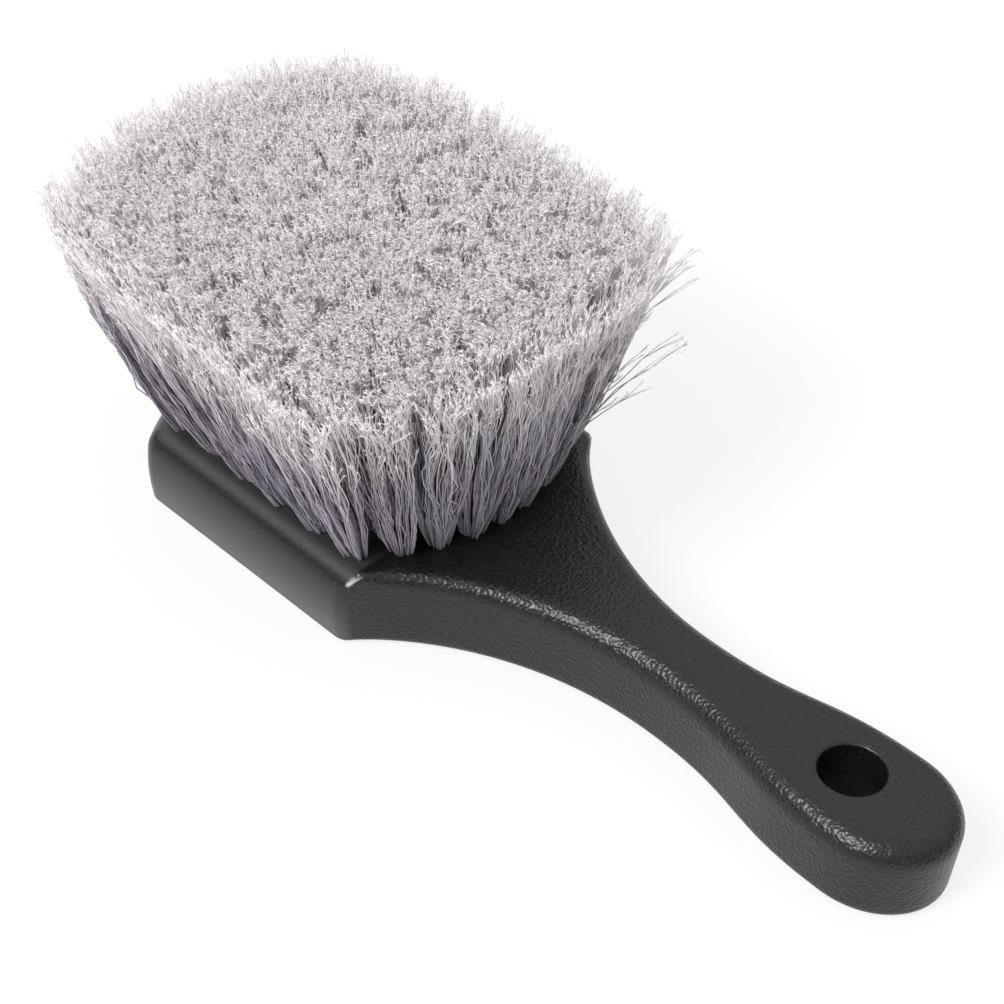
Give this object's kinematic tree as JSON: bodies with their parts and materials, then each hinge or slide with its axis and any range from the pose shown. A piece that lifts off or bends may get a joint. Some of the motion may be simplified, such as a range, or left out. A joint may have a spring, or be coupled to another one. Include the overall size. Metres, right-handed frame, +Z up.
{
  "type": "wheel brush",
  "caption": "Short-handled wheel brush: moulded black block with a waisted grip and hang hole, tufted with a tall, flared field of soft grey feathered bristles.",
  "frame": {"origin": "centre of the hang hole, on the flat back of the block", "axes": "+X along the handle towards its free end, +Z up from the flat back towards the bristle tips"},
  "size_m": [0.2446, 0.1118, 0.0754],
  "materials": {
    "block": "finely grained moulded plastic, satin on the head",
    "bristle": "soft feathered filament, matt",
    "anchor": "flat galvanised wire"
  },
  "bodies": {
    "root": {"handle_block": "block", "tuft_row_1": "bristle", "tuft_row_2": "bristle", "tuft_row_3": "bristle", "tuft_row_4": "bristle", "tuft_row_5": "bristle", "tuft_row_6": "bristle", "tuft_row_7": "bristle", "tuft_row_8": "bristle", "tuft_row_9": "bristle", "anchor_row_1": "anchor", "anchor_row_2": "anchor", "anchor_row_3": "anchor", "anchor_row_4": "anchor", "anchor_row_5": "anchor", "anchor_row_6": "anchor", "anchor_row_7": "anchor", "anchor_row_8": "anchor", "anchor_row_9": "anchor"}
  },
  "joints": []
}
